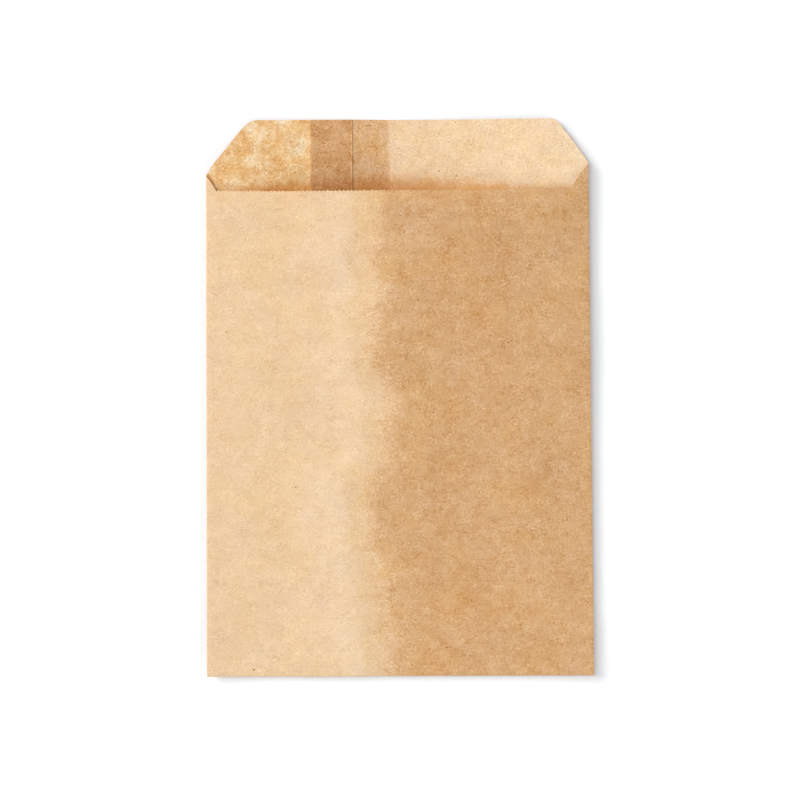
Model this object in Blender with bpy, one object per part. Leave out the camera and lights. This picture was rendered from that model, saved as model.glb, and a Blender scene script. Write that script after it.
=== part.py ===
"""A flat kraft paper bag, made the way the real one is: one cut sheet, wrapped into a tube
that is glued along a lap on the back, then folded over and glued at the bottom.

The bag lies on its back, as it comes to rest. +X is across the bag, +Y runs from the bottom
fold to the mouth, and +Z is up out of the front panel. The origin is under the middle of the
bag, on the surface that it lies on. Lengths are in metres."""

import math

import bmesh
import bpy
from mathutils import Vector

MM = 0.001

# The paper
PAPER = 0.12 * MM  # thickness of the sheet
PRESSED_GAP = 0.05 * MM  # air that stays between two layers that are pressed together

# The flat outline of the finished bag
BAG_WIDTH = 160 * MM
FRONT_HEIGHT = 201.2 * MM  # from the bottom fold to the ends of the front panel's cut edge
LIP = 29.6 * MM  # how far the back panel stands past the front panel
FRONT_SAG = 1.1 * MM  # how far the front panel's cut edge dips in its middle
SAG_REACH = 12 * MM  # the sheet is drawn down with it over this length

# The slanted cuts that run from the front panel, over each side fold, to the top of the lip
LEFT_NICK = 4.5 * MM  # how far each cut reaches into the front panel
RIGHT_NICK = 7.7 * MM
LEFT_RISE = 7.9 * MM  # how far each cut has climbed where it crosses the side fold
RIGHT_RISE = 10.8 * MM
LEFT_CORNER = 18.1 * MM  # how far each cut reaches into the back panel
RIGHT_CORNER = 13.6 * MM
CORNER_ROUND = 2.6 * MM  # length over which the lip's corners are eased

# The toothed cut that the knife leaves along the front panel and along the bottom flap
TOOTH_PITCH = 1.7 * MM
TOOTH_DEPTH = 0.5 * MM
TEETH_PER_COLUMN = 4

# The glued lap that closes the tube, along the back panel
LAP_INNER_EDGE = -18.7 * MM  # where the inner layer ends, as seen through the mouth
LAP_WIDTH = 17.3 * MM  # the outer layer ends this much further left

# The flap that closes the bottom. Bags are cut one after another from an endless tube, so the
# bottom end has the outline of the last bag's mouth: the front panel is longer there by the
# lip, and folds under to reach the back panel, whose end it covers.
GLUE_STRIP = 7.8 * MM  # how far the flap covers the back panel
FLAP_RAMP = 8 * MM  # length over which the back panel comes down beside the flap's edge

# The shape that the bag has taken, lying a little open. The front panel is a low roof with a
# soft ridge, and the back panel is a shallow valley whose sides are lifted off the surface. The
# thick glued end springs up a little, so the bag rests on the back panel.
MOUTH_GAP = 9.2 * MM  # between the panels at the ridge, at the mouth
GAP_POWER = 0.75  # how the gap grows from the bottom fold to the mouth
RIDGE = -6.6 * MM  # where the front panel stands highest, on average
RIDGE_WANDER = 4.6 * MM  # how far the ridge swings to either side of there, at the bottom
RIDGE_CALM = 0.55  # how much of that swing is lost on the way to the mouth
RIDGE_SWING = 105 * MM  # length of one swing, along the bag
SWING_START = 3 * MM  # where the ridge is furthest right, from the bottom fold
RIDGE_SOFTNESS = 8 * MM
VALLEY = -3.6 * MM  # where the back panel touches the surface
VALLEY_SOFTNESS = 3 * MM
FLAT_HALF = 45 * MM  # half the width over which the bottom end is level from side to side
MOUTH_LIFT = 2.5 * MM  # how far the side folds are lifted at the mouth
BOTTOM_LIFT = 2.0 * MM  # and at the bottom corners
LIFT_POWER = 1.6  # how the lift changes from the bottom fold to the mouth
END_RISE = 1.25 * MM  # height of the bottom fold above the surface, in its middle
END_SOFTNESS = 6 * MM  # of the bend from which the bottom end rises
END_FOOT = 6 * MM  # how far above the flap's ramp it starts to rise
SIDE_FOLD_GAP = 0.35 * MM  # how far a side fold springs open, at the mouth
DRAW_IN = 0.6 * MM  # how far each side fold moves inwards as the mouth opens

# How finely the sheet is divided
FOLD_SEGMENTS = 6
SLANT_COLUMNS = 3
ROUND_COLUMNS = 4
BODY_ROWS = 12
LIP_ROWS = 3
FLAP_ROWS = 3
SNAP = 0.02 * MM  # the knife takes a grid point that lies this near as its own

KRAFT_BROWN = (0.74, 0.48, 0.26, 1)  # between the sheet's pale and its deep tone
KRAFT_ROUGHNESS = 0.62

# Worked out from the sizes above
HALF = BAG_WIDTH / 2
FULL_HEIGHT = FRONT_HEIGHT + LIP
LEFT_CUT = LEFT_NICK, LEFT_RISE, LEFT_CORNER
RIGHT_CUT = RIGHT_NICK, RIGHT_RISE, RIGHT_CORNER
PITCH = PAPER + PRESSED_GAP  # from one pressed layer to the next
FOLD_HALF = math.pi * (PITCH + SIDE_FOLD_GAP) / 4  # half the paper that bends round a side
BEND = math.pi * 1.5 * PITCH  # the paper that bends round the bottom fold
LAP_OUTER_EDGE = LAP_INNER_EDGE - LAP_WIDTH
FLAP = (LIP + GLUE_STRIP - BEND) / 2  # length of the flap, from the bottom fold
FLAP_END = FLAP + FRONT_SAG + TOOTH_DEPTH + PITCH  # past here the back panel comes down
RAMP_END = FLAP_END + FLAP_RAMP  # from here up, the back panel has come down
RISE_START = RAMP_END + END_FOOT
TUBE_STEP = FRONT_HEIGHT + BEND + FLAP  # from one bag's cut to the next along the tube
BOTTOM_REACH = 2.5 * PITCH + PAPER / 2  # the bottom fold's roundness stands out this much
LENGTH_OFFSET = (FULL_HEIGHT - BOTTOM_REACH) / 2  # puts the origin under the bag's middle


def clamp01(value):
    return min(1.0, max(0.0, value))


def smooth(value):
    """0 below 0 and 1 above 1, with an even curve between them."""
    value = clamp01(value)
    return value * value * (3 - 2 * value)


def between(low, high, count):
    """The count points that divide the way from low to high into equal steps, without high."""
    return [low + (high - low) * i / count for i in range(count)]


# The sheet's own coordinates are u across it, with 0 on the front panel's middle line, and v
# along it, with 0 on the bottom fold. The side folds are at u = -HALF and u = HALF, and past
# them the sheet turns onto the back of the bag.


def tooth_columns():
    """The u positions of the front panel's columns, each a whole number of teeth wide."""
    low, high = LEFT_NICK - HALF, HALF - RIGHT_NICK
    count = max(1, round((high - low) / (TOOTH_PITCH * TEETH_PER_COLUMN)))
    return between(low, high, count) + [high]


FRONT_COLUMNS = tooth_columns()


def lap_shoulders():
    """The four columns between which the front panel rides over the lap's double layer."""
    left = [x for x in FRONT_COLUMNS if x < LAP_OUTER_EDGE - PITCH]
    right = [x for x in FRONT_COLUMNS if x > LAP_INNER_EDGE + PITCH]
    return left[-2], left[-1], right[0], right[1]


SHOULDERS = lap_shoulders()


def over_lap(x):
    """1 where the layers above and below make room for the lap, and 0 away from it."""
    foot_left, top_left, top_right, foot_right = SHOULDERS
    rising = (x - foot_left) / (top_left - foot_left)
    falling = (foot_right - x) / (foot_right - top_right)
    return clamp01(min(rising, falling))


def columns():
    """The u position of every column of the sheet, from one glued edge to the other."""
    back_right = [x for x in FRONT_COLUMNS if x > LAP_OUTER_EDGE]
    back_left = [x for x in FRONT_COLUMNS if x < LAP_INNER_EDGE] + [LAP_OUTER_EDGE]
    found = {HALF * 2 - LAP_OUTER_EDGE, -HALF * 2 - LAP_INNER_EDGE}
    found.update(FRONT_COLUMNS)
    for side, corner, middle in (
        (-1, LEFT_CORNER, back_left),
        (1, RIGHT_CORNER, back_right),
    ):
        past_fold = HALF + FOLD_HALF
        past_corner = HALF + corner + CORNER_ROUND
        slant_end = HALF + corner - CORNER_ROUND
        found.update(side * u for u in between(HALF - FOLD_HALF, past_fold, FOLD_SEGMENTS))
        found.update(side * u for u in between(past_fold, slant_end, SLANT_COLUMNS))
        found.update(side * u for u in between(slant_end, past_corner, ROUND_COLUMNS))
        found.add(side * past_corner)
        found.update(
            side * (2 * HALF - side * x)
            for x in middle
            if 2 * HALF - side * x > past_corner
        )
    return sorted(found)


def mouth_v(u):
    """Where the sheet ends at the mouth: the front edge, the slanted cut, then the lip."""
    nick, rise, corner = LEFT_CUT if u < 0 else RIGHT_CUT
    past_fold = abs(u) - HALF
    if past_fold < 0:
        return FRONT_HEIGHT + rise * max(0, 1 + past_fold / nick)
    slope = (LIP - rise) / corner
    past = past_fold - corner  # 0 at the lip's corner, and more towards its middle
    if past >= CORNER_ROUND:
        return FULL_HEIGHT
    if past > -CORNER_ROUND:
        return FULL_HEIGHT - slope * (CORNER_ROUND - past) ** 2 / (4 * CORNER_ROUND)
    return FULL_HEIGHT + slope * past


def rows():
    """The v position of every row of the sheet, from the flap's edge to the top of the lip."""
    found = between(FRONT_HEIGHT - TUBE_STEP, -BEND, FLAP_ROWS)
    found += between(-BEND, 0, FOLD_SEGMENTS)
    found += between(0, FLAP_END, FLAP_ROWS) + [FLAP_END]
    found += between(RAMP_END, FRONT_HEIGHT, BODY_ROWS)
    return found + between(FRONT_HEIGHT, FULL_HEIGHT, LIP_ROWS) + [FULL_HEIGHT]


def opened(y, power=1):
    """How far the bag has opened at this height: 0 at the bottom fold, 1 at the mouth."""
    return clamp01(y / FRONT_HEIGHT) ** power


def slope_away(distance, width, softness):
    """A straight slope from 0 at its foot to 1 at its width, with a soft curve at the foot."""
    reach = math.hypot(width, softness) - softness
    return (math.hypot(clamp01(distance / width) * width, softness) - softness) / reach


def floor_to_sheet(x, y, half):
    """Height of the lowest layer's mid-surface: flat in the middle, with its sides and its
    bottom end lifted."""
    flat = FLAT_HALF * (1 - opened(y, LIFT_POWER))
    distance = max(0, abs(x - VALLEY) - flat)
    width = (half - VALLEY if x > VALLEY else half + VALLEY) - flat
    lift = BOTTOM_LIFT + (MOUTH_LIFT - BOTTOM_LIFT) * opened(y, LIFT_POWER)
    side_height = lift * slope_away(distance, width, VALLEY_SOFTNESS)
    end_height = END_RISE * slope_away(max(0, RISE_START - y), RISE_START, END_SOFTNESS)
    return PAPER / 2 + math.hypot(side_height, end_height)


def over_flap(y):
    """1 where the back panel lies on the bottom flap, then down to 0."""
    return 1 - smooth((y - FLAP_END) / FLAP_RAMP)


def ridge_at(y):
    """Where the front panel's ridge runs at this height up the bag."""
    swing = RIDGE_WANDER * (1 - RIDGE_CALM * opened(y))
    return RIDGE + swing * math.cos(2 * math.pi * (y - SWING_START) / RIDGE_SWING)


def panel_gap(x, y, half):
    """The gap that has opened between the panels, past what a side fold has sprung open."""
    ridge = ridge_at(y)
    width = half - ridge if x > ridge else half + ridge
    roof = 1 - slope_away(abs(x - ridge), width, RIDGE_SOFTNESS)
    return MOUTH_GAP * opened(y, GAP_POWER) * roof


def layer(u, y):
    """Where a column of the sheet lies at this height up the bag: its x, its height above the
    back panel's outer layer, and how far the side folds are from the middle."""
    half = HALF - DRAW_IN * opened(y)
    radius = (PITCH + SIDE_FOLD_GAP * opened(y)) / 2
    side = math.copysign(1, u)
    past_fold = abs(u) - HALF
    if abs(past_fold) < FOLD_HALF:
        turn = math.pi * (FOLD_HALF - past_fold) / (2 * FOLD_HALF)
        x = side * (half - radius + radius * math.sin(turn))
        return x, radius * (1 - math.cos(turn)), half
    squeeze = (half - radius) / (HALF - FOLD_HALF)
    if past_fold > 0:
        x = side * (HALF - past_fold) * squeeze
        return x, PITCH * over_lap(x) * (side < 0), half
    x = u * squeeze
    return x, 2 * radius + PITCH * over_lap(x) + panel_gap(x, y, half), half


def folded(u, v):
    """The place in the bag of a point of the flat sheet."""
    turn = math.pi * clamp01(-v / BEND)
    y = v if v > 0 else max(0.0, -v - BEND)
    x, height, half = layer(u, y if v > 0 else 0.0)
    stack = PITCH * (2 + over_lap(x)) * over_flap(y)
    fold_line = floor_to_sheet(x, y, half) + stack - PITCH / 2
    radius = PITCH / 2 + height
    return (
        x,
        y - radius * math.sin(turn) - LENGTH_OFFSET,
        fold_line + radius * math.cos(turn),
    )


def uncut_sheet():
    """The sheet before cutting and folding, as a grid on the rows and columns."""
    across, along = columns(), rows()
    sheet = bmesh.new()
    bmesh.ops.create_grid(
        sheet, x_segments=len(across) - 1, y_segments=len(along) - 1, size=0.5
    )
    for vertex in sheet.verts:
        column = round((vertex.co.x + 0.5) * (len(across) - 1))
        row = round((vertex.co.y + 0.5) * (len(along) - 1))
        vertex.co = (across[column], along[row], 0)
    return sheet


def knife(sheet, shift, above):
    """Cuts across the sheet on the mouth's outline, and takes away what is above or below."""
    across = columns()
    for left, right in zip(across, across[1:]):
        start = Vector((left, mouth_v(left) + shift, 0))
        end = Vector((right, mouth_v(right) + shift, 0))
        strip = [f for f in sheet.faces if left < f.calc_center_bounds().x < right]
        edges = {e for f in strip for e in f.edges}
        points = {p for f in strip for p in f.verts}
        bmesh.ops.bisect_plane(
            sheet,
            geom=[*strip, *edges, *points],
            dist=SNAP,
            plane_co=start,
            plane_no=(end - start).cross((0, 0, 1)).normalized(),
        )
    waste = []
    for face in sheet.faces:
        middle = face.calc_center_median()
        past_cut = middle.y - mouth_v(middle.x) - shift
        if (past_cut > 0) == above:
            waste.append(face)
    bmesh.ops.delete(sheet, geom=waste, context="FACES")


def bow_cuts(sheet):
    """Draws the front panel's cut edge down in its middle, and the flap's edge with it."""
    middle = (FRONT_COLUMNS[0] + FRONT_COLUMNS[-1]) / 2
    reach = (FRONT_COLUMNS[-1] - FRONT_COLUMNS[0]) / 2
    for vertex in sheet.verts:
        sag = FRONT_SAG * max(0, 1 - ((vertex.co.x - middle) / reach) ** 2)
        inside = min(FRONT_HEIGHT - vertex.co.y, vertex.co.y - FRONT_HEIGHT + TUBE_STEP)
        vertex.co.y -= sag * smooth(1 - inside / SAG_REACH)


def cut_teeth(sheet):
    """Divides the front panel's cut edge and the flap's, and pulls out every other point."""
    low, high = FRONT_COLUMNS[0] - PITCH / 2, FRONT_COLUMNS[-1] + PITCH / 2
    for outwards in (1, -1):

        def on_cut(part):
            points = part.verts if isinstance(part, bmesh.types.BMEdge) else [part]
            return part.is_boundary and all(
                low < p.co.x < high and p.co.y * outwards > 0 for p in points
            )

        edge = [e for e in sheet.edges if on_cut(e)]
        bmesh.ops.subdivide_edges(sheet, edges=edge, cuts=2 * TEETH_PER_COLUMN - 1)
        points = sorted((p for p in sheet.verts if on_cut(p)), key=lambda p: p.co.x)
        for number, point in enumerate(points):
            point.co.y += outwards * TOOTH_DEPTH * (number % 2)


def kraft():
    """Unbleached brown paper, a little glossy on its machine-glazed side."""
    material = bpy.data.materials.new("kraft_paper")
    material.use_nodes = True
    shader = material.node_tree.nodes["Principled BSDF"]
    shader.inputs["Base Color"].default_value = KRAFT_BROWN
    shader.inputs["Roughness"].default_value = KRAFT_ROUGHNESS
    shader.inputs["Metallic"].default_value = 0
    material.diffuse_color = KRAFT_BROWN
    return material


def paper_bag():
    """The whole bag: the cut sheet, folded, with the paper's thickness."""
    sheet = uncut_sheet()
    knife(sheet, 0, above=True)
    knife(sheet, -TUBE_STEP, above=False)
    bow_cuts(sheet)
    cut_teeth(sheet)
    for vertex in sheet.verts:
        vertex.co = folded(vertex.co.x, vertex.co.y)
    mesh = bpy.data.meshes.new("paper_bag")
    sheet.to_mesh(mesh)
    sheet.free()
    mesh.shade_smooth()
    mesh.set_sharp_from_angle(angle=math.radians(50))
    mesh.materials.append(kraft())
    bag = bpy.data.objects.new("paper_bag", mesh)
    bpy.context.scene.collection.objects.link(bag)
    wall = bag.modifiers.new("paper thickness", "SOLIDIFY")
    wall.thickness = PAPER
    wall.offset = 0
    wall.use_quality_normals = True
    return bag


for old in list(bpy.data.objects):
    bpy.data.objects.remove(old)
paper_bag()
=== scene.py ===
# %% [markdown]
# # A flat kraft paper bag, lying a little open
#
# The real bag is one sheet of brown kraft paper. A machine wraps it into an endless tube, glues
# it along a lap on the back, cuts it off with a toothed knife, and folds and glues the bottom.
# This lesson cuts the sheet while it is still flat, then folds it, gives it its thickness, and
# gives the paper its colour, fibres and gloss. It starts from the finished model of the bag,
# which says how large it is and where it lies.

# %% The model of the bag
import math
from bisect import bisect

import bmesh
import bpy
from mathutils import Matrix, Vector, noise


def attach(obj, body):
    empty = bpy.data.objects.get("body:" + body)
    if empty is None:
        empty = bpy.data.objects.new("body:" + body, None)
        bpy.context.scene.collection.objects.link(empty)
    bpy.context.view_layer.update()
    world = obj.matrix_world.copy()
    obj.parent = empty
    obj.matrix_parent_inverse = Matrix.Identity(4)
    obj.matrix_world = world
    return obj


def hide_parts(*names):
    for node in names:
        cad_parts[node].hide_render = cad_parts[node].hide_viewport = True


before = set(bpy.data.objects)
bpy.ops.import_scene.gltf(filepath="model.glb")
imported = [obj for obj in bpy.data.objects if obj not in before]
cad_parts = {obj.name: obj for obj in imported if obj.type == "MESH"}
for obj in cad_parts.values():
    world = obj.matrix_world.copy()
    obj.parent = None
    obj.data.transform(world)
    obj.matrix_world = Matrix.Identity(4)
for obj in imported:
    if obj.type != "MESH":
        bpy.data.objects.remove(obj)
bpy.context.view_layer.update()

MM = 0.001

# %% [markdown]
# ## The sizes of the sheet
#
# A paper bag is flat work, so all its sizes can be read on the flat sheet. `u` runs across the
# sheet, with 0 on the middle line of the front panel, and `v` runs along it, with 0 on the
# bottom fold. Only a few sizes are chosen, and the rest follow from them.

# %% The sizes, as on the model
PAPER = 0.12 * MM
PRESSED_GAP = 0.05 * MM  # air between two layers that are pressed together
BAG_WIDTH = 160 * MM
FRONT_HEIGHT = 201.2 * MM  # from the bottom fold to the front panel's cut edge
LIP = 29.6 * MM  # how far the back panel stands past the front panel
FRONT_SAG, SAG_REACH = 1.1 * MM, 12 * MM  # the front's cut edge dips in its middle
LEFT_NICK, RIGHT_NICK = 4.5 * MM, 7.7 * MM  # the slanted cuts, on the front panel
LEFT_RISE, RIGHT_RISE = 7.9 * MM, 10.8 * MM  # how far they climb to the side fold
LEFT_CORNER, RIGHT_CORNER = 18.1 * MM, 13.6 * MM  # and their width on the back panel
TOOTH_PITCH = 1.7 * MM
TOOTH_DEPTH = 0.5 * MM
LAP_INNER_EDGE = -18.7 * MM  # where the inner layer of the glued lap ends
LAP_WIDTH = 17.3 * MM
GLUE_STRIP = 7.8 * MM  # how far the bottom flap covers the back panel
FLAP_RAMP = 8 * MM  # past the flap, the back panel comes down over this length
SIDE_FOLD_GAP = 0.35 * MM  # how far a side fold springs open, at the mouth
print(f"front panel {BAG_WIDTH / MM:.0f} by {FRONT_HEIGHT / MM:.1f} mm, lip {LIP / MM:.1f} mm")

# %% What follows from them
HALF = BAG_WIDTH / 2
FULL_HEIGHT = FRONT_HEIGHT + LIP
PITCH = PAPER + PRESSED_GAP
FOLD_HALF = math.pi * (PITCH + SIDE_FOLD_GAP) / 4
BEND = math.pi * 1.5 * PITCH  # the paper that bends round the bottom fold
LAP_OUTER_EDGE = LAP_INNER_EDGE - LAP_WIDTH
FLAP = (LIP + GLUE_STRIP - BEND) / 2
FLAP_END = FLAP + FRONT_SAG + TOOTH_DEPTH + PITCH
TUBE_STEP = FRONT_HEIGHT + BEND + FLAP  # from one bag's cut to the next along the tube
BOTTOM_REACH = 2.5 * PITCH + PAPER / 2
LENGTH_OFFSET = (FULL_HEIGHT - BOTTOM_REACH) / 2
LEFT_GLUED_EDGE = -BAG_WIDTH - LAP_INNER_EDGE
RIGHT_GLUED_EDGE = BAG_WIDTH - LAP_OUTER_EDGE
print(f"blank {(RIGHT_GLUED_EDGE - LEFT_GLUED_EDGE) / MM:.1f} mm wide, flap {FLAP / MM:.1f} mm")

# %% What is finer here than on the model: the rounded corners and the worn tips
LEFT_ROUND, RIGHT_ROUND = 3.3 * MM, 1.7 * MM  # how far the corners of the lip are rounded
LEFT_WEAR, RIGHT_WEAR = 1.2 * MM, 0.4 * MM  # the tips at the side folds are worn blunt
WEAR_REACH = 1.6 * MM
LEFT_CUT = LEFT_NICK, LEFT_RISE, LEFT_CORNER, LEFT_ROUND, LEFT_WEAR
RIGHT_CUT = RIGHT_NICK, RIGHT_RISE, RIGHT_CORNER, RIGHT_ROUND, RIGHT_WEAR
for side, cut in (("left", LEFT_CUT), ("right", RIGHT_CUT)):
    print(side, "nick, rise, corner, rounding and wear:", [round(size / MM, 1) for size in cut])

# %% [markdown]
# ## The flat sheet
#
# The sheet could be drawn as one outline and filled, but a filled outline has no points inside
# that could bend. A grid has them, and its columns and rows can be set close together at the
# folds and wide apart on the panels. Every column of the front panel is one tooth wide, so that
# the toothed cut later needs only one more point in each.

# %% Even steps
GRID_STEP = 1.5 * MM
FOLD_SEGMENTS = 8


def steps(low, high, step):
    """Evenly spaced numbers from low up to high, without high, about a step apart."""
    count = max(1, round((high - low) / step))
    return [low + (high - low) * i / count for i in range(count)]


print(len(steps(0, FRONT_HEIGHT, GRID_STEP)), "steps up the front panel")

# %% The columns
FRONT_LEFT, FRONT_RIGHT = LEFT_NICK - HALF, HALF - RIGHT_NICK
STEP_TO_LAP = 0.9 * MM  # the inner layer comes down to the outer one over this width


def columns():
    """The u position of every column of the sheet."""
    found = steps(FRONT_LEFT, FRONT_RIGHT, TOOTH_PITCH) + [FRONT_RIGHT]
    fold_step = 2 * FOLD_HALF / FOLD_SEGMENTS
    for side, inner, corner, rounding, edge in (
        (-1, -FRONT_LEFT, LEFT_CORNER, LEFT_ROUND, -LEFT_GLUED_EDGE),
        (1, FRONT_RIGHT, RIGHT_CORNER, RIGHT_ROUND, RIGHT_GLUED_EDGE),
    ):
        # Where each stretch of columns starts, and the step in it
        stations = [
            (HALF - FOLD_HALF, fold_step),
            (HALF + FOLD_HALF, GRID_STEP),
            (HALF + corner - rounding, rounding / 4),
            (HALF + corner + rounding, GRID_STEP),
        ]
        if side < 0:
            stations.append((BAG_WIDTH + LAP_OUTER_EDGE - STEP_TO_LAP, STEP_TO_LAP / 3))
            stations.append((BAG_WIDTH + LAP_OUTER_EDGE, GRID_STEP))
        ends = [place for place, _ in stations[1:]] + [edge]
        found += [side * u for u in steps(inner, HALF - FOLD_HALF, GRID_STEP)[1:]]
        for (low, step), high in zip(stations, ends):
            found += [side * u for u in steps(low, high, step)]
        found.append(side * edge)
    return sorted(found)


ACROSS = columns()
print(len(ACROSS), "columns")

# %% The rows


def rows():
    """The v position of every row of the sheet."""
    stations = [FRONT_HEIGHT - TUBE_STEP, -BEND, 0, FULL_HEIGHT - TUBE_STEP]
    stations += [FLAP_END, FLAP_END + FLAP_RAMP, FRONT_HEIGHT, FULL_HEIGHT]
    found = []
    for low, high in zip(stations, stations[1:]):
        step = BEND / FOLD_SEGMENTS if low == -BEND else GRID_STEP
        found += steps(low, high, step)
    return found + [FULL_HEIGHT]


ALONG = rows()
print(len(ALONG), "rows")

# %% The grid, stretched onto them
sheet = bmesh.new()
bmesh.ops.create_grid(
    sheet, x_segments=len(ACROSS) - 1, y_segments=len(ALONG) - 1, size=0.5
)
for vertex in sheet.verts:
    column = round((vertex.co.x + 0.5) * (len(ACROSS) - 1))
    row = round((vertex.co.y + 0.5) * (len(ALONG) - 1))
    vertex.co = (ACROSS[column], ALONG[row], 0)
print(len(sheet.faces), "faces in the uncut sheet")

# %% [markdown]
# ## The knife
#
# One stroke of the knife makes the mouth of one bag and the bottom end of the next, so the same
# outline is cut twice, one bag length apart. It runs level along the front panel, climbs over
# both side folds on a slant, and runs level along the back. At the side folds, handling has worn
# the tips a little blunt. Where the outline climbs, each strip of the grid is cut by a plane
# with `bisect_plane`, and what lies past the cut is deleted.

# %% The outline of the mouth


def mouth_v(u):
    """Where the sheet ends at the mouth: the front edge, the slanted cut, then the lip."""
    nick, rise, corner, rounding, wear = LEFT_CUT if u < 0 else RIGHT_CUT
    past_fold = abs(u) - HALF
    worn = wear * math.exp(-((past_fold / WEAR_REACH) ** 2))
    if past_fold < 0:
        return FRONT_HEIGHT + max(0, rise * (1 + past_fold / nick) - worn)
    slope = (LIP - rise) / corner
    past_corner = past_fold - corner
    if past_corner >= rounding:
        return FULL_HEIGHT
    if past_corner > -rounding:
        return FULL_HEIGHT - slope * (rounding - past_corner) ** 2 / (4 * rounding)
    return FULL_HEIGHT + slope * past_corner - worn


print(f"the mouth is cut between {mouth_v(0) / MM:.1f} and {mouth_v(BAG_WIDTH) / MM:.1f} mm")

# %% The two cuts


def knife(shift, above):
    """Cuts the sheet along the outline, and takes away what is above or below it."""
    strips = [[] for _ in ACROSS]
    for face in sheet.faces:
        strips[bisect(ACROSS, face.calc_center_bounds().x) - 1].append(face)
    for strip, left, right in zip(strips, ACROSS, ACROSS[1:]):
        start = Vector((left, mouth_v(left) + shift, 0))
        end = Vector((right, mouth_v(right) + shift, 0))
        if start.y == end.y:
            continue
        edges = {e for f in strip for e in f.edges}
        points = {p for f in strip for p in f.verts}
        bmesh.ops.bisect_plane(
            sheet,
            geom=[*strip, *edges, *points],
            dist=0.01 * MM,
            plane_co=start,
            plane_no=(end - start).cross((0, 0, 1)).normalized(),
        )
    waste = []
    for face in sheet.faces:
        centre = face.calc_center_median()
        if (centre.y > mouth_v(centre.x) + shift) == above:
            waste.append(face)
    bmesh.ops.delete(sheet, geom=waste, context="FACES")


knife(0, above=True)
knife(-TUBE_STEP, above=False)
print(len(sheet.faces), "faces in the cut sheet")

# %% The toothed knife is a little bowed, so both of its cuts dip in their middle
FRONT_MIDDLE, FRONT_REACH = (FRONT_LEFT + FRONT_RIGHT) / 2, (FRONT_RIGHT - FRONT_LEFT) / 2


def clamp01(value):
    return min(1.0, max(0.0, value))


def smooth(value):
    """Goes softly from 0 to 1 as the value does."""
    value = clamp01(value)
    return value * value * (3 - 2 * value)


for vertex in sheet.verts:
    sag = FRONT_SAG * max(0, 1 - ((vertex.co.x - FRONT_MIDDLE) / FRONT_REACH) ** 2)
    from_cut = min(FRONT_HEIGHT - vertex.co.y, vertex.co.y - FRONT_HEIGHT + TUBE_STEP)
    vertex.co.y -= sag * smooth(1 - from_cut / SAG_REACH)
print(f"the cuts dip by {FRONT_SAG / MM:.1f} mm")

# %% The blade that cut the lip was not quite true: the lip is a little shorter on the right
LIP_SKEW, SKEW_REACH = 0.5 * MM, 25 * MM  # how much shorter, and how far from the middle line
SKEW_ON_LEFT = 0.35  # this share of it makes the left longer, and the rest makes the right shorter
for vertex in sheet.verts:
    if abs(vertex.co.x) > HALF + LEFT_CORNER / 2:
        in_bag = math.copysign(BAG_WIDTH, vertex.co.x) - vertex.co.x  # across, once it is folded
        to_right = smooth((in_bag + SKEW_REACH) / (2 * SKEW_REACH))
        up_lip = clamp01((vertex.co.y - FRONT_HEIGHT) / LIP)
        vertex.co.y -= up_lip * LIP_SKEW * (to_right - SKEW_ON_LEFT)
print(f"the lip is {LIP_SKEW / MM:.1f} mm shorter on the right")

# %% [markdown]
# ## The toothed edge
#
# The knife has fine teeth, so the front panel and the flap end in a row of small points, while
# the lip was cut by a smooth blade. Each edge along the cut gets one more point, which is pulled
# out. Paper tears a little as it is cut, so no two teeth are quite the same.

# %% The teeth
TOOTH_UNEVEN = 0.5  # how much the teeth differ in length, as a share of it
TORN_UP, TORN_ASIDE = 0.06 * MM, 0.12 * MM  # how far a torn point strays


def on_cut(point, outwards):
    """Whether a point is on the mouth's toothed cut, or on the flap's if outwards is -1."""
    between = FRONT_LEFT - PITCH < point.co.x < FRONT_RIGHT + PITCH
    return point.is_boundary and between and point.co.y * outwards > 0


for outwards in (1, -1):
    rim = [e for e in sheet.edges if e.is_boundary]
    rim = [e for e in rim if all(on_cut(p, outwards) for p in e.verts)]
    bmesh.ops.subdivide_edges(sheet, edges=rim, cuts=1)
    points = sorted((p for p in sheet.verts if on_cut(p, outwards)), key=lambda p: p.co.x)
    for number, point in enumerate(points):
        torn = noise.noise((number * 0.73, outwards * 5.1, 2.7))
        length = TOOTH_DEPTH * (number % 2) * (1 + TOOTH_UNEVEN * torn) + TORN_UP * torn
        point.co.y += outwards * length
        point.co.x += TORN_ASIDE * noise.noise((number * 0.61, outwards * 3.3, 8.2))
    print(len(points) // 2, "teeth")

# %% [markdown]
# ## The shape of an open bag
#
# A bag that has been opened once stays a little open: the front panel stands up as a low roof
# with a soft ridge, the back panel becomes a shallow valley, and the side folds float off the
# table. The paper is also never quite even. It was wound on a roll and lay in damp air, so it
# has slow waves, which show wherever it is glossy. All of this is a height that depends on the
# place in the bag, so it is written as a few short formulas.

# %% How far the bag has opened, and the slope of a panel


def opened(y, power=1):
    """How far the bag has opened: 0 at the bottom fold, and 1 at the mouth."""
    return clamp01(y / FRONT_HEIGHT) ** power


def slope_away(distance, width, softness):
    """A straight slope from 0 at its foot to 1 at its width, with a soft curve at the foot."""
    reach = math.hypot(width, softness) - softness
    return (math.hypot(clamp01(distance / width) * width, softness) - softness) / reach


print("at 100 mm from the bottom, the bag has opened by", round(opened(100 * MM), 2))

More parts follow.
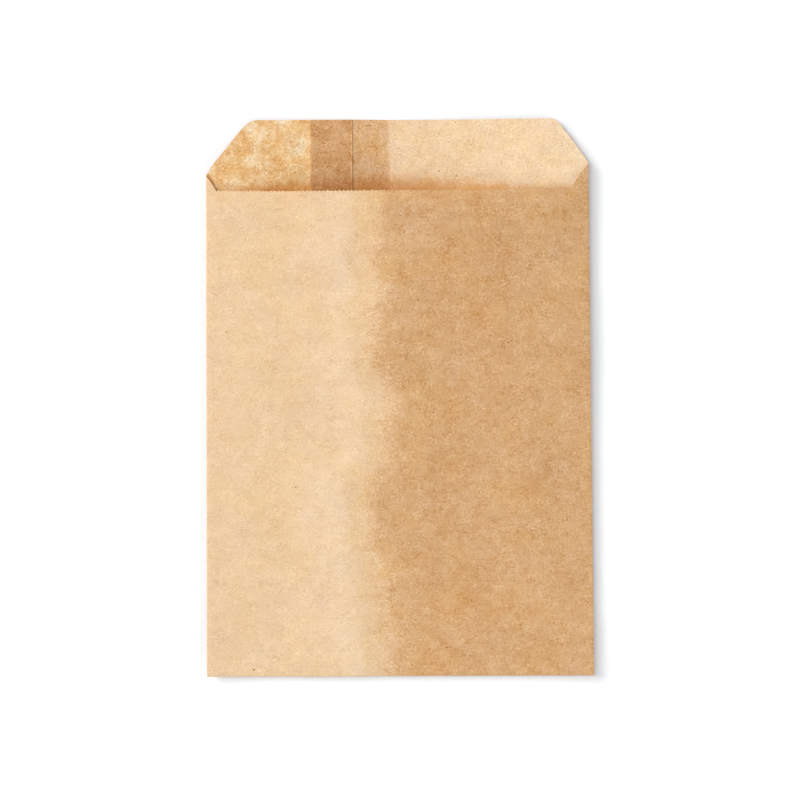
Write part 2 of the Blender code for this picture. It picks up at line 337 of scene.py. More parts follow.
# %% The ridge of the front panel, and its bulges
RIDGE, RIDGE_SOFTNESS = -6.6 * MM, 8 * MM
RIDGE_WANDER, RIDGE_CALM = 4.6 * MM, 0.55  # how far it swings, and how much less at the mouth
RIDGE_SWING, SWING_START = 105 * MM, 3 * MM
LOBES = (  # the crest's bulges: place along the bag, how far to the right, how long
    (160 * MM, 4.6 * MM, 5 * MM),
    (130 * MM, -3.0 * MM, 7 * MM),
    (113 * MM, 3.8 * MM, 6 * MM),
    (92 * MM, 1.8 * MM, 6 * MM),
    (79 * MM, -4.2 * MM, 8 * MM),
    (44 * MM, 3.6 * MM, 10 * MM),
)


def ridge_at(y):
    """Where the ridge of the front panel runs. It swings slowly from side to side."""
    swing = RIDGE_WANDER * (1 - RIDGE_CALM * opened(y))
    return RIDGE + swing * math.cos(math.tau * (y - SWING_START) / RIDGE_SWING)


def crest_at(y):
    """The ridge with its bulges, where the two tones of the front panel meet."""
    bulges = sum(far * math.exp(-(((y - at) / long) ** 2)) for at, far, long in LOBES)
    return ridge_at(y) + bulges


crest = [round(crest_at(share * FRONT_HEIGHT) / MM, 1) for share in (0, 0.5, 1)]
print("the crest at the bottom, half way up and at the mouth:", crest, "mm")

# %% The back panel: a shallow valley with lifted sides
VALLEY, VALLEY_SOFTNESS = -3.6 * MM, 3 * MM
FLAT_HALF = 45 * MM  # half the width that lies flat, at the bottom
MOUTH_LIFT, BOTTOM_LIFT, LIFT_POWER = 2.5 * MM, 2.0 * MM, 1.6
LIFT_UNEVEN, LIFT_WAVE = 0.12, 46 * MM
END_RISE, END_SOFTNESS, END_FOOT = 1.25 * MM, 6 * MM, 6 * MM
RISE_START = FLAP_END + FLAP_RAMP + END_FOOT  # from here down, the bottom end springs up


def waves(x, y, length, seed):
    """Slow waves of about this length, between -1 and 1."""
    return noise.noise((x / length, y / length, seed)) * 1.4


def floor_to_sheet(x, y, half):
    """Height of the lowest layer: flat in the middle, with its sides and its end lifted."""
    flat = FLAT_HALF * (1 - opened(y, LIFT_POWER))
    distance = max(0, abs(x - VALLEY) - flat)
    width = (half - VALLEY if x > VALLEY else half + VALLEY) - flat
    lift = BOTTOM_LIFT + (MOUTH_LIFT - BOTTOM_LIFT) * opened(y, LIFT_POWER)
    lift *= 1 + LIFT_UNEVEN * waves(x, y, LIFT_WAVE, 3.1)
    side_height = lift * slope_away(distance, width, VALLEY_SOFTNESS)
    end_height = END_RISE * slope_away(max(0, RISE_START - y), RISE_START, END_SOFTNESS)
    return PAPER / 2 + math.hypot(side_height, end_height)


print(f"the sides are lifted by {floor_to_sheet(HALF, FRONT_HEIGHT, HALF) / MM:.1f} mm at the mouth")

# %% Room for the bottom flap and for the glued lap
LAP_FOOT = 13 * MM  # beside the lap, the front panel comes down over this width


def over_flap(y):
    """1 where the back panel lies on the bottom flap, then down to 0."""
    return 1 - smooth((y - FLAP_END) / FLAP_RAMP)


def over_lap(x, foot=LAP_FOOT):
    """1 where a layer has to make room for the glued lap, and 0 away from it."""
    rising = (x - LAP_OUTER_EDGE + foot) / foot
    falling = (LAP_INNER_EDGE + foot - x) / foot
    return smooth(min(rising, falling))


print(f"the flap ends {FLAP_END / MM:.1f} mm from the bottom fold")

# %% The gap between the panels, and the cockles of the front panel
MOUTH_GAP, GAP_POWER = 9.2 * MM, 0.75
HELD_FLAT = 2 * MM  # where the gap is smaller, the layers hold each other flat
COCKLES = (  # height, length along the bag, how much shorter across it, place in the noise
    (0.34 * MM, 52 * MM, 1.0, 7.7),
    (0.11 * MM, 21 * MM, 1.2, 1.9),
    (0.028 * MM, 7 * MM, 0.5, 4.4),
)


def panel_gap(x, y, half):
    """The gap that has opened between the panels."""
    ridge = crest_at(y)
    width = half - ridge if x > ridge else half + ridge
    roof = 1 - slope_away(abs(x - ridge), width, RIDGE_SOFTNESS)
    gap = MOUTH_GAP * opened(y, GAP_POWER) * roof
    cockle = 0
    for height, length, shorter, seed in COCKLES:
        cockle += height * waves(x * shorter, y, length, seed)
    return gap + clamp01(gap / HELD_FLAT) * cockle


ridge_gap = panel_gap(crest_at(FRONT_HEIGHT), FRONT_HEIGHT, HALF)
print(f"the mouth stands {ridge_gap / MM:.1f} mm open")

# %% [markdown]
# ## Two maps of the paper
#
# Fibres, stains and glue belong to the paper and bend with it. So before anything is folded,
# every corner of every face notes where it is on the flat sheet, in a UV map. A second map
# notes how far it is from the crest of the front panel, and how far inside the mouth's cut.
# The materials read both later, in millimetres.

# %% The UV maps of the flat sheet
MAP_SPAN = 0.5  # metres of paper for one unit of a map
MAP_MIDDLE = 0.5  # the maps' own middle, so that no place on them is negative
maps = {name: sheet.loops.layers.uv.new(name) for name in ("paper", "landmarks")}
for face in sheet.faces:
    for loop in face.loops:
        u, v = loop.vert.co.xy
        places = {"paper": (u, v), "landmarks": (u - crest_at(v), mouth_v(u) - v)}
        for name, place in places.items():
            loop[maps[name]].uv = [c / MAP_SPAN + MAP_MIDDLE for c in place]
print("the sheet has the maps", " and ".join(maps))

# %% [markdown]
# ## Folding
#
# Paper bends but hardly stretches, so where a point ends up follows from where it is on the
# sheet. A simulation could fold the sheet too, but it would have to be told all the same sizes.
# Here one formula carries a point across the bag, round the side folds and over the lap, and
# another takes what lies past the bottom fold half a turn down and under the back panel.

# %% Across the bag
DRAW_IN = 0.6 * MM  # how far an open mouth draws each side fold in


def layer(u, y):
    """Its x, its height above the back panel's outer layer, and the side folds' distance."""
    half = HALF - DRAW_IN * opened(y)
    radius = (PITCH + SIDE_FOLD_GAP * opened(y)) / 2
    side = math.copysign(1, u)
    past_fold = abs(u) - HALF
    if abs(past_fold) < FOLD_HALF:
        turn = math.pi * (FOLD_HALF - past_fold) / (2 * FOLD_HALF)
        x = side * (half - radius + radius * math.sin(turn))
        return x, radius * (1 - math.cos(turn)), half
    squeeze = (half - radius) / (HALF - FOLD_HALF)
    if past_fold > 0:
        x = side * (HALF - past_fold) * squeeze
        return x, PITCH * over_lap(x, STEP_TO_LAP) * (side < 0), half
    x = u * squeeze
    return x, 2 * radius + PITCH * over_lap(x) + panel_gap(x, y, half), half


print(f"at the mouth, the bag is {2 * layer(HALF, FRONT_HEIGHT)[0] / MM:.1f} mm wide")

# %% Round the bottom fold


def folded(u, v):
    """The place in the bag of a point of the flat sheet."""
    turn = math.pi * clamp01(-v / BEND)
    y = v if v > 0 else max(0.0, -v - BEND)
    x, height, half = layer(u, y if v > 0 else 0.0)
    stack = PITCH * (2 + over_lap(x)) * over_flap(y)
    fold_line = floor_to_sheet(x, y, half) + stack - PITCH / 2
    radius = PITCH / 2 + height
    return Vector((
        x,
        y - radius * math.sin(turn) - LENGTH_OFFSET,
        fold_line + radius * math.cos(turn),
    ))


for vertex in sheet.verts:
    vertex.co = folded(vertex.co.x, vertex.co.y)
highest = max(vertex.co.z for vertex in sheet.verts)
print(f"the folded bag is {highest / MM:.1f} mm high")

# %% [markdown]
# ## The thickness of the paper
#
# A sheet without thickness has no cut edge, and its inside would shade like its outside. The
# Solidify modifier gives it both skins and the rim between them, each with a finish of its own.
# It is applied at once, so that the rim's edges can be marked sharp afterwards.

# %% The piece
mesh = bpy.data.meshes.new("kraft_bag")
sheet.to_mesh(mesh)
sheet.free()
for slot_name in ("kraft_outside", "kraft_inside", "kraft_cut_edge"):
    mesh.materials.append(bpy.data.materials.new(slot_name))
bag = bpy.data.objects.new("kraft_bag", mesh)
bpy.context.scene.collection.objects.link(bag)
wall = bag.modifiers.new("paper thickness", "SOLIDIFY")
wall.thickness = PAPER
wall.offset = 0
wall.use_quality_normals = True
wall.material_offset = 1
wall.material_offset_rim = 2

# %% Both skins and the rim, with its edges sharp
SHARP_ANGLE = math.radians(50)
solid = bpy.data.meshes.new_from_object(
    bag.evaluated_get(bpy.context.evaluated_depsgraph_get())
)
bag.modifiers.clear()
bag.data = solid
solid.shade_smooth()
solid.set_sharp_from_angle(angle=SHARP_ANGLE)
solid.calc_loop_triangles()
print(len(solid.loop_triangles), "triangles in the bag")

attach(bag, "root")
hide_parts("paper_bag")

# %% [markdown]
# ## Writing materials as sums
#
# Node trees are easier to read as arithmetic. A `Value` wraps a socket, so that `0.5 + 2 * wave`
# adds the Math nodes for it. A `Tree` holds the nodes of one material or of the world, and its
# `node` method makes any other node: first its settings, then what goes into its sockets. A
# `Finish` is the tree of one of the bag's materials. It also reads the maps, and it makes the
# blotches and the relief of paper.

# %% A value that varies over the surface


class Value:
    """A number or a colour that comes out of a node."""

    def __init__(self, tree, socket):
        self.tree, self.socket = tree, socket

    def math(self, operation, first, second):
        return self.tree.node("ShaderNodeMath", {"operation": operation}, {0: first, 1: second})

    def __add__(self, other):
        return self.math("ADD", self, other)

    def __sub__(self, other):
        return self.math("SUBTRACT", self, other)

    def __rsub__(self, other):
        return self.math("SUBTRACT", other, self)

    def __mul__(self, other):
        return self.math("MULTIPLY", self, other)

    def __abs__(self):
        return self.math("ABSOLUTE", self, 0)

    __radd__ = __add__
    __rmul__ = __mul__


# %% Tones, as a screen shows them and as the light that they stand for
WHITE = (1.0, 1.0, 1.0, 1.0)


def tone(red, green, blue):
    """A colour as a screen shows it, from 0 to 255, as the light that it stands for."""
    light = []
    for part in (red, green, blue):
        part /= 255
        light.append(part / 12.92 if part <= 0.04045 else ((part + 0.055) / 1.055) ** 2.4)
    return (*light, 1.0)


def set_stops(band, stops):
    """Puts colours on a colour ramp, each at its place between 0 and 1."""
    while len(band.elements) < len(stops):
        band.elements.new(0.5)
    for element, (place, colour) in zip(band.elements, stops):
        element.position = place
        element.color = colour


print("the brown of the paper is", [round(part, 2) for part in tone(216, 170, 120)[:3]], "as light")

# %% The nodes of a material or of the world


class Tree:
    """A node tree, whose numbers and colours can be written as sums."""

    def __init__(self, node_tree):
        self.nodes, self.links = node_tree.nodes, node_tree.links

    def node(self, kind, settings, inputs, output=0):
        """Any node: its settings, a ramp's stops among them, then its inputs."""
        made = self.nodes.new(kind)
        for name, setting in settings.items():
            if name == "stops":
                set_stops(made.color_ramp, setting)
            else:
                setattr(made, name, setting)
        for name, value in inputs.items():
            self.feed(made.inputs[name], value)
        return Value(self, made.outputs[output])

    def feed(self, socket, value):
        """Links a value to a socket, or sets a plain number or colour on it."""
        if isinstance(value, Value):
            self.links.new(value.socket, socket)
        elif isinstance(value, tuple):
            socket.default_value = value[: len(socket.default_value)]
        else:
            socket.default_value = value

    def ramp(self, value, low, high, to_low=0.0, to_high=1.0):
        """Goes smoothly from to_low to to_high as the value goes from low to high."""
        return self.node(
            "ShaderNodeMapRange", {"interpolation_type": "SMOOTHSTEP"},
            {"Value": value, "From Min": low, "From Max": high,
             "To Min": to_low, "To Max": to_high},
        )

    def tones(self, value, low, high, stops):
        """Colours in order along a value: each stop is a place and the tone there."""
        span = high - low
        placed = [((place - low) / span, tone(*colour)) for place, colour in stops]
        return self.node("ShaderNodeValToRGB", {"stops": placed}, {0: (value - low) * (1 / span)})

    def blend(self, share, first, second):
        """Goes from the first colour to the second one by the share."""
        return self.node(
            "ShaderNodeMix", {"data_type": "RGBA"}, {"Factor": share, 6: first, 7: second}, output=2
        )

    def tinted(self, colour, tint):
        """A colour times a tint, or times a number."""
        return self.node(
            "ShaderNodeVectorMath", {"operation": "MULTIPLY"}, {0: colour, 1: tint}
        )

    def partly_tinted(self, colour, share, tint):
        """A colour times a tint, as far as the share goes: not at 0, and fully at 1."""
        return self.tinted(colour, self.blend(share, WHITE, tint))


# %% A finish of the bag, with the patterns that paper needs


class Finish(Tree):
    """The nodes of one of the bag's materials."""

    def __init__(self, name):
        self.material = bpy.data.materials[name]
        self.material.use_nodes = True
        super().__init__(self.material.node_tree)
        self.shader = self.nodes["Principled BSDF"]

    def place(self, name):
        """A place on one of the maps, in millimetres, as its two numbers and as a vector."""
        uv = self.node("ShaderNodeUVMap", {"uv_map": name}, {})
        scale, middle = MAP_SPAN / MM, -MAP_MIDDLE * MAP_SPAN / MM
        where = self.node(
            "ShaderNodeVectorMath", {"operation": "MULTIPLY_ADD"},
            {0: uv, 1: (scale, scale, 0), 2: (middle, middle, 0)},
        )
        across = self.node("ShaderNodeSeparateXYZ", {}, {0: where}, output=0)
        along = self.node("ShaderNodeSeparateXYZ", {}, {0: where}, output=1)
        return across, along, where

    def cloud(self, where, size, stretch=1.0, detail=2.0, rough=0.5, layer=0.0):
        """Soft blotches of about this size in millimetres, around 0. Layers differ."""
        spot = self.node(
            "ShaderNodeVectorMath", {"operation": "MULTIPLY_ADD"},
            {0: where, 1: (1 / size / stretch, 1 / size, 0), 2: (layer, layer, layer)},
        )
        blotches = self.node(
            "ShaderNodeTexNoise", {"noise_dimensions": "3D"},
            {"Vector": spot, "Scale": 1.0, "Detail": detail, "Roughness": rough},
        )
        return blotches - 0.5

    def relief(self, height, depth):
        """Small ups and downs of the surface, this deep in metres."""
        return self.node(
            "ShaderNodeBump", {}, {"Height": height, "Strength": 1.0, "Distance": depth}
        )

    def shine(self, colour, roughness, normal, gloss):
        """Gives the finish its colour, its roughness, its relief and how much it mirrors."""
        self.feed(self.shader.inputs["Base Color"], colour)
        self.feed(self.shader.inputs["Roughness"], roughness)
        self.feed(self.shader.inputs["Normal"], normal)
        self.shader.inputs["Specular IOR Level"].default_value = gloss
        print(self.material.name, "has", len(self.nodes), "nodes")


# %% [markdown]
# ## Kraft paper
#
# Unbleached kraft is wood fibre that still has its brown lignin. Held at arm's length it is a
# warm brown, but close up it is uneven at every size: clouds of a centimetre or two, where the
# fibres settled thicker or thinner, a mottle of a few millimetres, and a grain of single fibres.
# All of them make the colour deeper or paler, and a deeper spot loses more blue than red. Other
# clouds shift the hue from pinkish to golden. A few curled dark fibres and specks of bark are
# left in it.
#
# One picture of noise could not do all of this, so each size has a noise of its own, and they are
# added up. The same sums drive the colour and, more weakly, the relief, as in the real sheet.

# %% The unevenness of the sheet
CLOUDS, MOTTLE, GRAIN, FLECKS = 0.32, 0.95, 0.42, 3.4  # how much each one deepens the colour


def uneven(finish, where, layer):
    """How deep the colour is, around 0, and the height of the relief."""
    clouds = finish.cloud(where, 23, stretch=1.1, detail=1, rough=1.0, layer=layer)
    mottle = finish.cloud(where, 5.7, stretch=1.05, detail=3, rough=1.0, layer=layer + 7)
    grain = finish.cloud(where, 0.8, stretch=1.05, detail=1, rough=1.0, layer=layer + 3)
    calm = finish.cloud(where, 7, stretch=1.1, detail=2, rough=0.6, layer=layer + 29)
    flecks = grain * abs(grain)
    fine = MOTTLE * mottle + GRAIN * grain + FLECKS * flecks
    patchy = finish.ramp(calm, -0.12, 0.12, 0.75, 1.25)
    return CLOUDS * clouds + patchy * fine, 0.5 * mottle + grain


# %% What is left in it: dark fibres and specks of bark
FIBRE_DEPTH, SPECK_DEPTH = 0.14, 0.55
SPECK_SIZE, SPECK_BLUR = 0.55, 0.14  # millimetres: the largest radius, and the soft edge


def dark_fibres(finish, where):
    """1 on the few curled dark fibres, and 0 beside them."""
    curl = abs(finish.cloud(where, 2.6, stretch=1.3, detail=1, layer=51))
    some = finish.cloud(where, 3.4, detail=1, layer=63)
    return finish.ramp(curl, 0.004, 0.016, 1.0, 0.0) * finish.ramp(some, 0.10, 0.16)


def bark_specks(finish, where, spacing):
    """1 on the specks of bark: small dots, no two of one size, about this far apart."""
    spot = finish.node(
        "ShaderNodeVectorMath", {"operation": "SCALE"}, {0: where, "Scale": 1 / spacing}
    )
    far = finish.node("ShaderNodeTexVoronoi", {}, {"Vector": spot, "Scale": 1.0}, output=0)
    chance = finish.node("ShaderNodeTexVoronoi", {}, {"Vector": spot, "Scale": 1.0}, output=1)
    size = finish.node("ShaderNodeSeparateXYZ", {}, {0: chance}, output=0) * SPECK_SIZE
    return finish.ramp(size - far * spacing, 0.0, SPECK_BLUR)


# %% All of it laid over a colour
PINKER, GOLDEN = (0.97, 1.0, 1.10, 1.0), (1.01, 0.99, 0.85, 1.0)
BROWN_GRAIN = (0.66, 1.15, 1.96, 1.0)  # a deeper spot loses most of its blue, least of its red
PALE_GRAIN = (0.78, 1.13, 1.62, 1.0)  # and less so where the paper looks pale


def kraft(finish, where, colour, contrast, pale, gold, gold_size, layer, spacing=10.0):
    """Lays the unevenness of the paper over its colour. Returns the colour and the relief."""
    golden = finish.cloud(where, gold_size, detail=3, rough=0.75, layer=layer + 17)
    colour = finish.tinted(colour, finish.blend(golden * gold + 0.5, PINKER, GOLDEN))
    depth, relief = uneven(finish, where, layer)
    marks = FIBRE_DEPTH * dark_fibres(finish, where)
    marks = marks + SPECK_DEPTH * bark_specks(finish, where, spacing)
    deeper = finish.node(
        "ShaderNodeVectorMath", {"operation": "MULTIPLY_ADD"},
        {0: depth * contrast - marks, 1: finish.blend(pale, BROWN_GRAIN, PALE_GRAIN), 2: WHITE},
    )
    return finish.tinted(colour, deeper), relief


# %% [markdown]
# ## The outside
#
# The outside of the sheet was dried against a polished cylinder, so it has a dull gloss. Left of
# the crest, the front panel leans towards the light. It mirrors some of it, and its brown looks
# pale. Right of the crest it leans away and shows its full brown, deepest just past the crest.
# The edge between the two is ragged, as the paper cockles there. Gloss alone gives only a part of
# this. So a band of tones along the distance from the crest paints the rest: the pale tones left
# of it are painted sheen. It is a place on the sheet, not a place in the picture.

# %% The tones of the outside, along the distance from the crest, with painted sheen on the pale side
RAGGED = 19  # millimetres, how far the noise would push the edge between the tones
BACK_PLACE = 40  # the back panel has the tone that the front has this far right of the crest
FOLD_AT = HALF / MM  # where the side folds are on the map
outside = Finish("kraft_outside")
u, v, where = outside.place("paper")
from_crest, below_cut, _ = outside.place("landmarks")
on_front = outside.ramp(u, -FOLD_AT - 1, -FOLD_AT)
on_front = on_front * outside.ramp(u, FOLD_AT, FOLD_AT + 1, 1.0, 0.0)
ragged = RAGGED * outside.cloud(where, 11, stretch=1.4, detail=5, rough=1.0, layer=21)
place = from_crest * on_front + BACK_PLACE * (1 - on_front) + ragged
colour = outside.tones(place, -80, 80, (
    (-78, (238, 203, 164)),
    (-60, (238, 204, 163)),
    (-40, (238, 203, 161)),
    (-26, (240, 206, 167)),
    (-17, (242, 210, 172)),
    (-13, (239, 206, 168)),
    (-9.5, (235, 199, 156)),
    (-3, (234, 195, 150)),
    (0, (230, 187, 141)),
    (2.5, (222, 176, 127)),
    (7, (220, 174, 124)),
    (16, (218, 170, 119)),
    (40, (217, 169, 119)),
    (78, (216, 170, 121)),
))
brown = outside.ramp(place, -12, 4)
print(len(outside.nodes), "nodes for the tones of the outside")

# %% Painted shade where the front panel rises, and a painted glow and shade where it stands off the lip
# Towards the mouth the pale half leans more to the light, so it is painted a little deeper
uphill = on_front * outside.ramp(place, -12, -2, 1.0, 0.0) * outside.ramp(v, 20, 190)
colour = outside.partly_tinted(colour, uphill, (0.96, 0.945, 0.925, 1))

# The last millimetres below the cut stand off the lip. There the brown side gets a little painted
# glow, as of light from behind, and the pale side a little painted shade, so it turns browner
near_cut = on_front * outside.ramp(below_cut, 2, 9, 1.0, 0.0)
edge_glow_and_shade = outside.blend(brown, (1.0, 0.975, 0.94, 1), (1.045, 1.03, 1.0, 1))
colour = outside.partly_tinted(colour, near_cut, edge_glow_and_shade)
print(len(outside.nodes), "nodes with the tints near the mouth")

# %% Short creases from handling: dark ones near the mouth, pale ones near the bottom
# The dark lines are painted shade of small creases, and the pale lines only make the paper lighter
CREASES = (  # place across and along, turn in degrees, half length, half width, how much darker
    (-52.5, 193.3, 0, 6.5, 0.4, 0.11),
    (-52.0, 185.6, 3, 4.5, 0.4, 0.07),
    (-60.0, 46.7, 2, 12.0, 0.9, -0.05),
    (-58.0, 6.2, 0, 9.0, 0.8, -0.05),
    (77.3, 18.4, 51, 4.2, 0.6, -0.16),
    (78.9, 39.7, 80, 2.2, 0.8, -0.13),
    (77.6, 3.0, 30, 2.4, 0.9, -0.12),
)
FULL_ACROSS, FULL_ALONG = 0.2, 0.4  # the share of both halves that is at full strength
waver = 1.6 * outside.cloud(where, 4, detail=2, rough=0.6, layer=83)
for at_u, at_v, turn, half_length, half_width, mark in CREASES:
    cosine, sine = math.cos(math.radians(turn)), math.sin(math.radians(turn))
    off_line = (v - at_v) * cosine - (u - at_u) * sine
    on_line = (u - at_u) * cosine + (v - at_v) * sine
    line = outside.ramp(abs(off_line + waver), FULL_ACROSS * half_width, half_width, mark, 0.0)
    line = line * outside.ramp(abs(on_line), FULL_ALONG * half_length, half_length, 1.0, 0.0)
    colour = outside.tinted(colour, 1 - line)
print(len(CREASES), "short creases")

# %% The paper of the outside, and its dull gloss
OUTSIDE_RELIEF, OUTSIDE_GLOSS = 0.02 * MM, 0.35
colour, relief = kraft(
    outside, where, colour,
    contrast=0.49 + 0.5 * brown, pale=1 - brown, gold=1.65 + 0.35 * brown, gold_size=20, layer=0,
)
roughness = 0.46 + 0.3 * outside.cloud(where, 3.0, stretch=1.5, detail=3, rough=0.6, layer=31)
outside.shine(colour, roughness, outside.relief(relief, OUTSIDE_RELIEF), OUTSIDE_GLOSS)

# %% [markdown]
# ## The inside
#
# The inside is rough. The lip shows it, and through the mouth a little more. Left of the seam
# the paper is one layer, lifted off the table, and its cloudy fibres show as golden patches:
# painted light that comes through the paper from below, with painted sheen. On the seam two
# layers lie on each other and let less light through, so it is painted darker. Right of the
# seam it is plain, and much paler past the bend in the middle of the valley, where it leans
# towards the light: painted sheen. All of this is told by where a place is across the bag,
# which the map of the flat sheet gives for both ends of the blank.

# %% The plain paper, with the bend in the middle of the valley and painted sheen past it
inside = Finish("kraft_inside")
u, v, where = inside.place("paper")
left_part = inside.ramp(u, -FOLD_AT - 0.5, -FOLD_AT + 0.5, 1.0, 0.0)
around = BAG_WIDTH / MM
across = around - 2 * around * left_part - u  # from the middle line of the bag
wobble = inside.cloud(where, 6, detail=3, rough=0.7, layer=71)
low = inside.ramp(v, 206, 222, 1.0, 0.0)
from_bend = across - 0.9 * low
wavy = 2.5 * wobble * inside.ramp(v, 201, 214, 0.4, 1.0)
# Past the bend the tones turn pale: painted sheen where the valley rises towards the light
plain = inside.tones(from_bend + wavy, -30, 90, (
    (-20, (219, 172, 123)),
    (-9, (222, 175, 126)),
    (-4.8, (223, 177, 129)),
    (-3.7, (234, 193, 149)),
    (-2.8, (241, 205, 165)),
    (6.0, (244, 210, 170)),
    (11.5, (243, 207, 163)),
    (17.0, (246, 212, 171)),
    (30, (247, 213, 172)),
    (60, (246, 213, 172)),
    (78, (249, 219, 182)),
))
print(len(inside.nodes), "nodes for the plain paper")

# %% The golden patches, which are painted light through the one layer, and the seam, painted darker
patches = inside.cloud(where, 9.0, stretch=0.9, detail=3, rough=0.72, layer=44)
patches = patches * inside.ramp(v, 203, 220, 0.65, 1.0) + 0.015 - 0.04 * inside.ramp(v, 202, 226)
golden = inside.tones(patches, -0.2, 0.2, (
    (-0.15, (245, 217, 179)),
    (-0.07, (241, 204, 155)),
    (0.0, (237, 193, 138)),
    (0.06, (233, 183, 123)),
    (0.14, (225, 168, 105)),
))
seam_start, seam_end = LAP_OUTER_EDGE / MM, LAP_INNER_EDGE / MM
on_seam = inside.ramp(across + 1.2 * wobble, seam_start - 0.5, seam_start + 0.6)
left_colour = inside.blend(on_seam, golden, tone(208, 156, 105))
colour = inside.blend(left_part, plain, left_colour)
print(f"the seam runs from {seam_start:.1f} to {seam_end:.1f} mm across")

# %% The paper of the inside, with more specks than the outside
INSIDE_SPACING = 6.5
pale = inside.ramp(across, -6, -3) * (1 - left_part)
colour, relief = kraft(
    inside, where, colour,
    contrast=1.25 - 0.6 * pale - 0.2 * left_part + 0.46 * left_part * on_seam,
    pale=pale,
    gold=2.3 - 0.4 * pale - left_part * (0.3 + 1.5 * on_seam),
    gold_size=9, layer=100, spacing=INSIDE_SPACING,
)

# Along the bend, a painted highlight: the fibres that stand up there catch a little light
bend_highlight = inside.ramp(abs(from_bend + 3.3 + 2.0 * wobble), 0.15, 0.45, 1.0, 0.0)
bend_highlight = bend_highlight * low * (1 - left_part)
colour = inside.tinted(colour, 1 + 0.12 * bend_highlight)
print(len(inside.nodes), "nodes with the grain of the inside")

# %% [markdown]
# ## The inside, near the front panel
#
# In the mouth, the front panel hides part of the light, and the rest has come from one brown
# wall after another, so the paper gets darker and browner towards the front panel, over a longer
# way in the middle than at the sides. The renderer bounces light too, but real paper also lets
# some through and colours it, which this solid does not. So a painted shade, darker and browner,
# fades with the distance from the cut and adds what is missing.

# %% The painted shade in the mouth, darker and browner towards the front panel
from_ridge = abs(across - RIDGE / MM)
above_cut = v - FRONT_HEIGHT / MM + 4 * wobble
reach = inside.ramp(from_ridge, 0, 66, 10.5, 3.0)
most = inside.ramp(from_ridge, 44, 72, 1.0, 0.35) * (1 - 0.4 * left_part * on_seam)
shade = inside.ramp(above_cut, 0.0, reach, most, 0.0)
shade_tint = inside.blend(
    inside.ramp(from_ridge, 8, 34), (0.82, 0.59, 0.36, 1), (0.88, 0.67, 0.41, 1)
)
colour = inside.partly_tinted(colour, shade, shade_tint)
print(len(inside.nodes), "nodes with the browner light")

# %% The lap's cut edge with its painted highlight and painted shadow, and the painted shadow of a crescent at the left slanted cut
INSIDE_RELIEF, INSIDE_GLOSS, INSIDE_ROUGHNESS = 0.03 * MM, 0.3, 0.62
# A painted highlight along the lap's inner edge, and a painted shadow just beside it
thin_light = left_part * inside.ramp(across, seam_end - 0.5, seam_end - 0.2)
thin_shadow = (1 - left_part) * inside.ramp(across, seam_end + 0.2, seam_end + 0.7, 1.0, 0.0)
colour = inside.tinted(colour, 1 + 0.30 * thin_light - 0.30 * thin_shadow)
# The crescent is painted shadow under the front panel's slanted cut, near the left fold
past_fold = across + HALF / MM
cut_line = (FRONT_HEIGHT + LEFT_RISE) / MM - past_fold * (LEFT_RISE / LEFT_NICK)
crescent = inside.ramp(v - cut_line + 9 * wobble, 0.3, 2.6, 1.0, 0.0)
crescent = crescent * inside.ramp(past_fold, 4, 6, 1.0, 0.0)
colour = inside.partly_tinted(colour, crescent, (0.74, 0.56, 0.38, 1))
inside.shine(colour, INSIDE_ROUGHNESS, inside.relief(relief, INSIDE_RELIEF), INSIDE_GLOSS)

# %% The cut edge, which is only fibre ends
EDGE_RELIEF, EDGE_GLOSS, EDGE_ROUGHNESS = 0.02 * MM, 0.3, 0.8
cut_edge = Finish("kraft_cut_edge")
_, _, where = cut_edge.place("paper")
colour, relief = kraft(
    cut_edge, where, tone(232, 196, 152), contrast=1.0, pale=0.5, gold=1.0, gold_size=20, layer=200
)
cut_edge.shine(colour, EDGE_ROUGHNESS, cut_edge.relief(relief, EDGE_RELIEF), EDGE_GLOSS)
for index, finish in enumerate((outside, inside, cut_edge)):
    solid.materials[index] = finish.material

# %% [markdown]
# ## The camera
#
# The bag is seen from straight above with a long lens, as on a copy stand. The stand was not
# quite square: the bag is turned a little against the picture, and its bottom and its right side
# are a little nearer to the lens, so they look larger.

# %% The camera
DISTANCE = 1.0
LENS, SENSOR = 108.49, 36  # millimetres
LOOK_AT = Vector((0.69 * MM, -1.27 * MM, 2 * MM))
TILT, LEAN, TURN = (math.radians(angle) for angle in (1.454, 1.59, -0.372))
lens = bpy.data.cameras.new("camera")
lens.lens = LENS
lens.sensor_width = SENSOR
lens.clip_start = 0.01
camera = bpy.data.objects.new("camera", lens)
camera.matrix_world = (
    Matrix.Translation(LOOK_AT)
    @ Matrix.Rotation(TURN, 4, "Z")
    @ Matrix.Rotation(LEAN, 4, "Y")
    @ Matrix.Rotation(TILT, 4, "X")
    @ Matrix.Translation((0, 0, DISTANCE))
)
bpy.context.scene.collection.objects.link(camera)
bpy.context.scene.camera = camera
print("the camera is at", [round(c, 3) for c in camera.matrix_world.translation])

# %% [markdown]
# ## The light
#
# Three soft boxes light the bag. The low one is wide and hangs far to the upper left, where it
# rakes over the paper and throws the narrow shadow along the right side and the bottom. The high
# one hangs left of the camera, where the left half of the front panel mirrors it. A weaker one
# from the lower right lightens that shadow. White surroundings fill the rest. Together they
# light a level surface with about 1, so that a colour looks as it is written.

# %% How a soft box hangs
LAMP_DISTANCE = 2.4


def towards(azimuth, elevation, distance):
    """A place seen from the bag: azimuth from +X towards +Y, elevation above the table."""
    azimuth, elevation = math.radians(azimuth), math.radians(elevation)
    flat = distance * math.cos(elevation)
    return Vector(
        (flat * math.cos(azimuth), flat * math.sin(azimuth), distance * math.sin(elevation))
    )


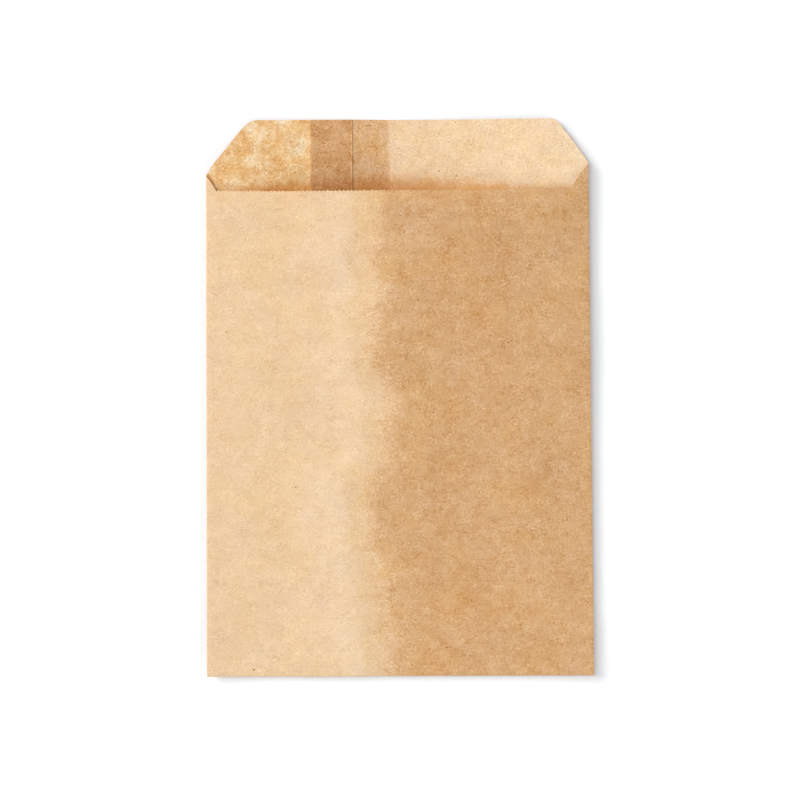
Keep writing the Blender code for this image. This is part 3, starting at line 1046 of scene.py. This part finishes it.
def soft_box(name, azimuth, elevation, size, light):
    """An area light that faces the bag, and gives the table there this much light."""
    lamp = bpy.data.lights.new(name, "AREA")
    lamp.shape = "RECTANGLE"
    lamp.size, lamp.size_y = size
    facing_it = light / math.sin(math.radians(elevation))
    lamp.energy = facing_it * math.pi**2 * LAMP_DISTANCE**2
    holder = bpy.data.objects.new(name, lamp)
    holder.location = towards(azimuth, elevation, LAMP_DISTANCE)
    holder.rotation_euler = holder.location.to_track_quat("Z", "Y").to_euler()
    holder.visible_camera = False
    bpy.context.scene.collection.objects.link(holder)
    radiance = facing_it * math.pi * LAMP_DISTANCE**2 / (size[0] * size[1])
    print(f"{name}: {light:.2f} on the table, {radiance:.1f} when mirrored")


# %% The three soft boxes
LOW_LIGHT, HIGH_LIGHT, COUNTER_LIGHT, FILL_LIGHT = 0.38, 0.16, 0.14, 0.38
soft_box("low soft box", 153, 27, (2.4, 1.0), LOW_LIGHT)
soft_box("high soft box", 176, 64, (1.2, 1.2), HIGH_LIGHT)
soft_box("counter light", -38, 24, (1.8, 0.9), COUNTER_LIGHT)
print(f"all the light on the table: {LOW_LIGHT + HIGH_LIGHT + COUNTER_LIGHT + FILL_LIGHT:.2f}")

# %% [markdown]
# ## The table and the surroundings
#
# The table is white paper that runs on to the horizon. The white that the camera sees is brighter
# than the white that lights the bag, and a touch bluish. So the table is clean white beside the
# bag, and the shadow, which gets brown light from the paper, stays grey. The bag itself is lit
# by the true white.

# %% The white table
TABLE_HALF = 3.0
TABLE_GAP = 0.1 * MM  # under the bag, so that no two faces lie in each other
table_mesh = bpy.data.meshes.new("table")
table_grid = bmesh.new()
bmesh.ops.create_grid(table_grid, x_segments=1, y_segments=1, size=TABLE_HALF)
bmesh.ops.translate(table_grid, vec=(0, 0, -TABLE_GAP), verts=table_grid.verts)
table_grid.to_mesh(table_mesh)
table_grid.free()
table = bpy.data.objects.new("table", table_mesh)
bpy.context.scene.collection.objects.link(table)
print(f"the table is {2 * TABLE_HALF:.0f} m wide")

# %% What the camera sees of it, and what lights the bag
TABLE_WHITE, TABLE_SEEN = (0.8, 0.8, 0.8, 1), (1.12, 1.14, 1.16, 1)


def seen_directly(tree):
    """1 for a ray of the camera, of a mirror or through glass, and 0 for any other."""
    shown = 0.0
    for kind in ("Is Camera Ray", "Is Glossy Ray", "Is Transmission Ray"):
        ray = tree.node("ShaderNodeLightPath", {}, {}, output=kind)
        shown = ray.math("MAXIMUM", ray, shown)
    return shown


white = bpy.data.materials.new("white_table")
white.use_nodes = True
white.node_tree.nodes.remove(white.node_tree.nodes["Principled BSDF"])
paint = Tree(white.node_tree)
colour = paint.blend(seen_directly(paint), TABLE_WHITE, TABLE_SEEN)
matt = paint.node("ShaderNodeBsdfDiffuse", {}, {"Color": colour})
paint.feed(paint.nodes["Material Output"].inputs["Surface"], matt)
table_mesh.materials.append(white)
print(white.name, "has", len(paint.nodes), "nodes")

# %% The white surroundings
world = bpy.data.worlds.new("white surroundings")
world.use_nodes = True
bpy.context.scene.world = world
sky = Tree(world.node_tree)
strength = sky.node(
    "ShaderNodeMapRange", {},
    {"Value": seen_directly(sky), "To Min": FILL_LIGHT, "To Max": 1.0},
)
sky.feed(sky.nodes["Background"].inputs["Strength"], strength)
sky.feed(sky.nodes["Background"].inputs["Color"], WHITE)
bpy.context.scene.view_settings.view_transform = "Standard"
print(world.name, "have", len(sky.nodes), "nodes")
